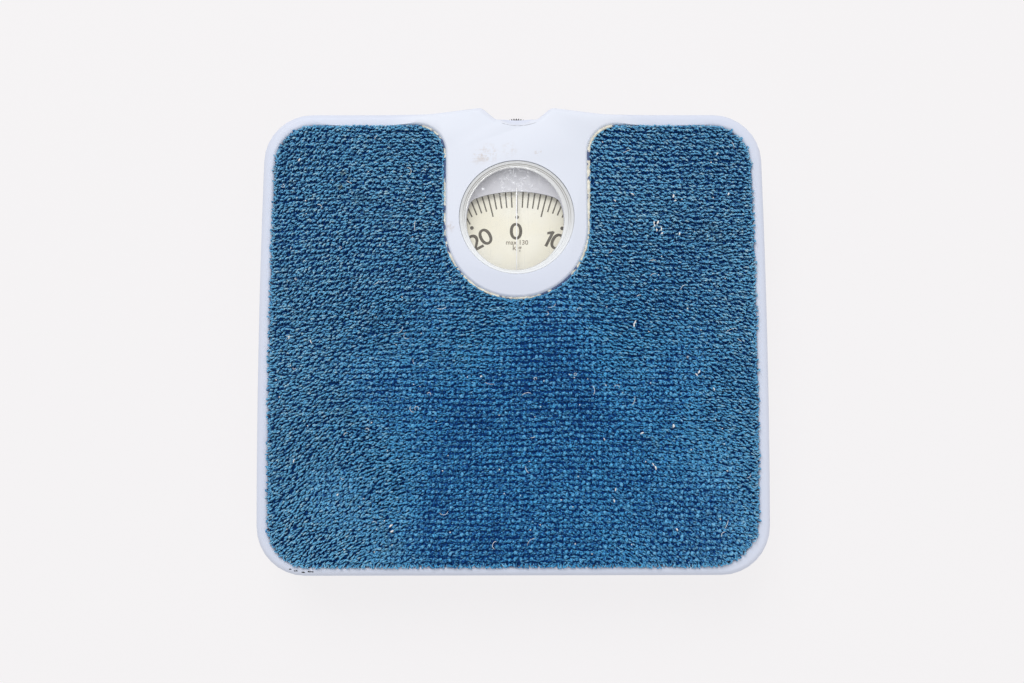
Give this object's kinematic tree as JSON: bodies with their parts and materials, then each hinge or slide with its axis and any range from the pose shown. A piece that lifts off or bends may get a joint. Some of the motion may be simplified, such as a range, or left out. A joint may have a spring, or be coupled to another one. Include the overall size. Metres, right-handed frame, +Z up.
{
  "type": "mechanical bathroom scale",
  "caption": "Flat mechanical bathroom scale with a pile mat on its platform, a round dial window at the rear, and a thumb wheel for zero.",
  "frame": {"origin": "on the floor under the middle of the part's box", "axes": "+Z up, +Y towards the dial end, +X to the reader's right"},
  "size_m": [0.28, 0.2583, 0.0556],
  "materials": {
    "enamel": "cool white stove enamel on pressed steel, glossy, lightly chipped",
    "pile": "blue loop-pile mat",
    "clear_window": "clear moulded plastic",
    "mask_grey": "pale grey paint",
    "white_line": "white",
    "rubber": "black rubber",
    "zinc": "zinc-plated pressed steel",
    "spring_steel": "oiled spring wire",
    "brass": "plain brass",
    "black_plastic": "black moulded plastic",
    "dial_card": "cream printed disc"
  },
  "bodies": {
    "base": {"base_pan": "enamel", "bearing_bush": "brass", "bearing_saddle": "zinc", "bridge": "zinc", "bridge_screw_left": "brass", "bridge_screw_right": "brass", "crank_pivot_pin": "zinc", "foot_front_left": "rubber", "foot_front_right": "rubber", "foot_rear_left": "rubber", "foot_rear_right": "rubber", "keeper_spring_left": "spring_steel", "keeper_spring_right": "spring_steel", "main_spring": "spring_steel", "pan_tab_left": "zinc", "pan_tab_right": "zinc", "post_front_left": "zinc", "post_front_right": "zinc", "post_rear_left": "zinc", "post_rear_right": "zinc", "rack_spring": "spring_steel", "rivet_bracket_left": "zinc", "rivet_bracket_right": "zinc", "rivet_bridge": "zinc", "rivet_pan_tab_left": "zinc", "rivet_pan_tab_right": "zinc", "rivet_post_front_left": "zinc", "rivet_post_front_right": "zinc", "rivet_post_rear_left": "zinc", "rivet_post_rear_right": "zinc", "spring_bracket": "zinc", "spring_post": "zinc"},
    "platform": {"top_cover": "enamel", "mat": "pile", "lens": "clear_window", "dial_mask": "mask_grey", "pointer_line": "white_line", "bearer_front_left": "zinc", "bearer_front_right": "zinc", "bearer_rear_left": "zinc", "bearer_rear_right": "zinc", "cover_tab_left": "zinc", "cover_tab_right": "zinc"},
    "long_lever": {"long_lever_left": "zinc", "long_lever_right": "zinc", "lever_tie_bar": "zinc", "stirrup_left": "zinc", "stirrup_right": "zinc"},
    "short_lever_left": {"short_lever_left": "zinc"},
    "short_lever_right": {"short_lever_right": "zinc"},
    "spring_hanger": {"spring_hanger": "zinc"},
    "bell_crank": {"bell_crank": "zinc"},
    "rack": {"rack": "brass"},
    "dial": {"dial_disc": "dial_card", "dial_hub": "zinc", "spindle": "zinc", "pinion": "brass"},
    "zero_wheel": {"zero_wheel": "black_plastic"},
    "adjuster": {"adjuster_screw": "brass"}
  },
  "joints": [
    {"name": "dial_spin", "type": "hinge", "parent": "base", "child": "dial", "pos_m": [0.002, 0.0135, 0.0411], "axis": [0, 0, 1], "range_deg": [0, 360], "stiffness_Nm_per_rad": 0.017, "springref_deg": -11.46},
    {"name": "platform_sink", "type": "slide", "parent": "base", "child": "platform", "axis": [0, 0, -1], "range_m": [0, 0.00053068], "deforming": ["keeper_spring_left", "keeper_spring_right"]},
    {"name": "long_lever_tilt", "type": "hinge", "parent": "base", "child": "long_lever", "pos_m": [0, -0.0999, 0.0122], "axis": [-1, 0, 0], "range_deg": [0, 1.91]},
    {"name": "short_lever_left_tilt", "type": "hinge", "parent": "base", "child": "short_lever_left", "pos_m": [-0.108, 0.0961, 0.0122], "axis": [1, 0, 0], "range_deg": [0, 1.91]},
    {"name": "short_lever_right_tilt", "type": "hinge", "parent": "base", "child": "short_lever_right", "pos_m": [0.108, 0.0961, 0.0122], "axis": [1, 0, 0], "range_deg": [0, 1.91]},
    {"name": "hanger_drop", "type": "slide", "parent": "base", "child": "spring_hanger", "axis": [0, 0, -1], "range_m": [0, 0.00702], "deforming": ["main_spring"]},
    {"name": "crank_turn", "type": "hinge", "parent": "base", "child": "bell_crank", "pos_m": [0.0092, 0.0899, 0.0112], "axis": [-1, 0, 0], "range_deg": [0, 45.1]},
    {"name": "rack_slide", "type": "slide", "parent": "base", "child": "rack", "axis": [0, 1, 0], "range_m": [0, 0.01572], "deforming": ["rack_spring"]},
    {"name": "zero_wheel_turn", "type": "hinge", "parent": "base", "child": "zero_wheel", "pos_m": [0.002, 0.11115, 0.0405], "axis": [0, 0, 1], "range_deg": [-361, 361]},
    {"name": "adjuster_lift", "type": "slide", "parent": "base", "child": "adjuster", "axis": [0, 0, 1], "range_m": [-0.0007, 0.0007]}
  ],
  "couplings": [
    {"joint": "dial_spin", "follows": "platform_sink", "rad_per_m": 11840},
    {"joint": "long_lever_tilt", "follows": "platform_sink", "rad_per_m": 62.5},
    {"joint": "short_lever_left_tilt", "follows": "platform_sink", "rad_per_m": 62.5},
    {"joint": "short_lever_right_tilt", "follows": "platform_sink", "rad_per_m": 62.5},
    {"joint": "hanger_drop", "follows": "platform_sink", "ratio": 13.191},
    {"joint": "crank_turn", "follows": "platform_sink", "rad_per_m": 1480},
    {"joint": "rack_slide", "follows": "platform_sink", "ratio": 29.6},
    {"joint": "zero_wheel_turn", "follows": "adjuster_lift", "rad_per_m": 8976}
  ]
}
